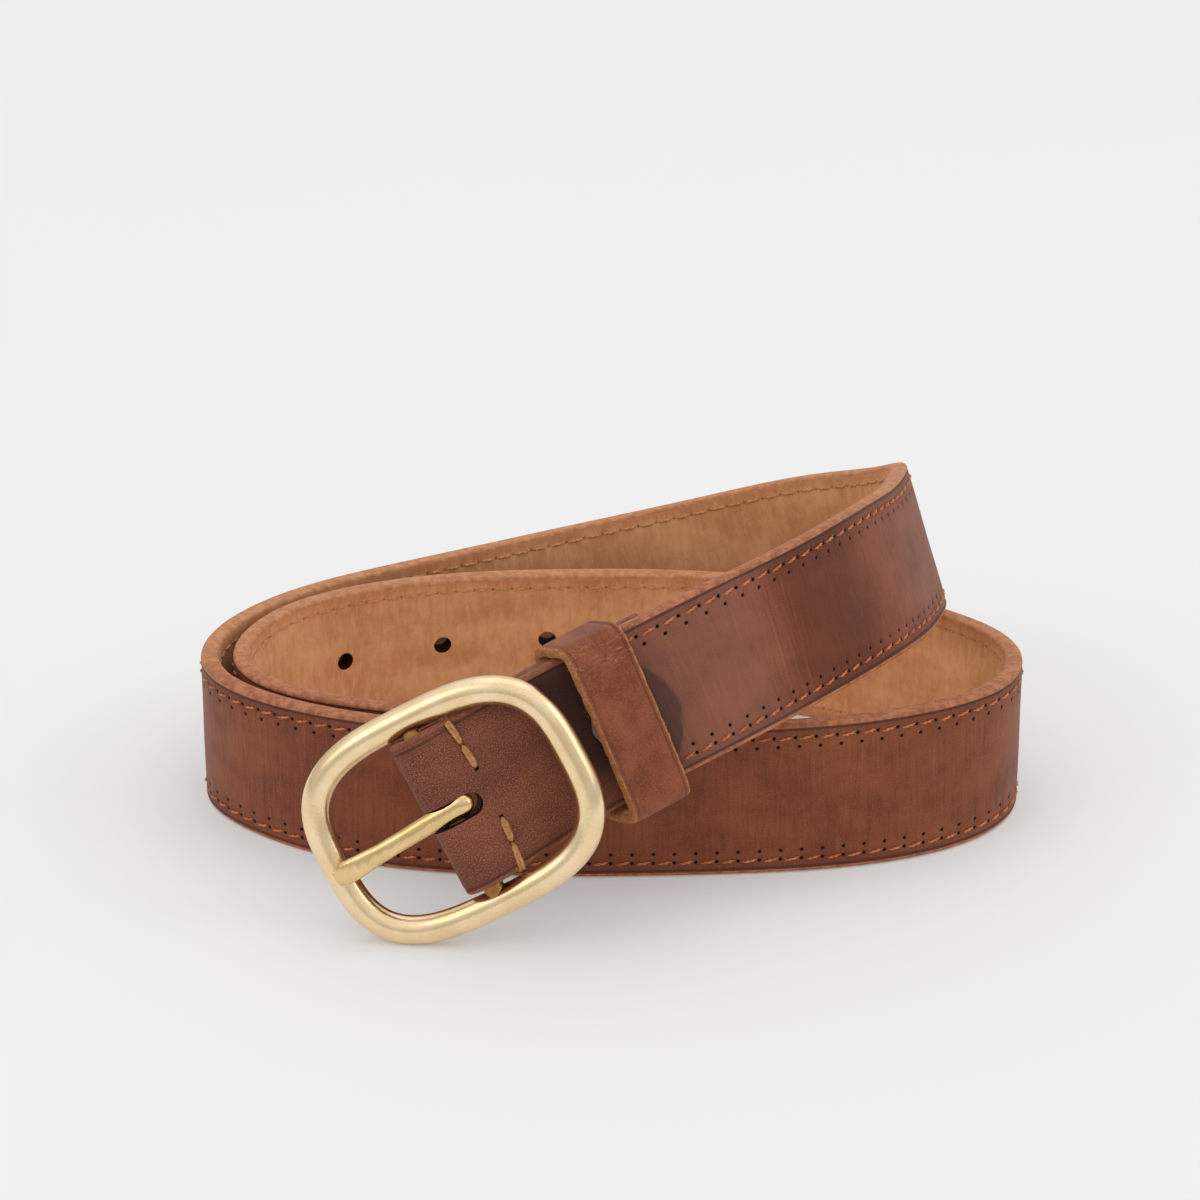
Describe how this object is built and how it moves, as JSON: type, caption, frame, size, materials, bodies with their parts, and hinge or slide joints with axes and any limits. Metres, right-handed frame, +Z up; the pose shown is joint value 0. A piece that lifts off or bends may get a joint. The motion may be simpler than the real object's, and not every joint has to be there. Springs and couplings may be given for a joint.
{
  "type": "leather belt",
  "caption": "Coiled leather belt with a centre-bar buckle, sliding keeper, stitched edges and a row of adjusting holes, standing on its edge.",
  "frame": {"origin": "centre of the belt's bounding box, on the surface it stands on", "axes": "+X along the coil's long side, towards the end the strap climbs to; +Y to the back, away from the buckle; +Z up"},
  "size_m": [0.188, 0.1576, 0.0741],
  "materials": {
    "strap_leather": "oiled full-grain leather, tan flesh side",
    "keeper_leather": "oiled leather with raw cut edges",
    "buckle_brass": "satin antique brass",
    "bar_brass": "satin antique brass",
    "tongue_brass": "satin antique brass",
    "staple_steel": "plated wire",
    "screw_steel": "nickel plated",
    "edge_thread": "waxed thread",
    "fold_thread": "heavy waxed thread"
  },
  "bodies": {
    "strap_body": {"strap": "strap_leather", "screw_post": "screw_steel", "screw": "screw_steel", "edge_thread_upper": "edge_thread", "edge_thread_lower": "edge_thread", "fold_thread_upper": "fold_thread", "fold_thread_lower": "fold_thread"},
    "frame_body": {"buckle_frame": "buckle_brass", "buckle_bar": "bar_brass"},
    "tongue_body": {"buckle_tongue": "tongue_brass"},
    "keeper_body": {"keeper": "keeper_leather", "keeper_staple": "staple_steel"}
  },
  "joints": [
    {"name": "frame_hinge", "type": "hinge", "parent": "strap_body", "child": "frame_body", "pos_m": [-0.03354, -0.06927, 0.02918], "axis": [0.4673, -0.2387, -0.8513], "range_deg": [0, 55]},
    {"name": "tongue_hinge", "type": "hinge", "parent": "frame_body", "child": "tongue_body", "pos_m": [-0.03354, -0.06927, 0.02918], "axis": [-0.4673, 0.2387, 0.8513], "range_deg": [0, 116]},
    {"name": "keeper_slide", "type": "slide", "parent": "strap_body", "child": "keeper_body", "axis": [0.8767, 0.3019, 0.3746], "range_m": [-0.0018, 0.0065]}
  ]
}
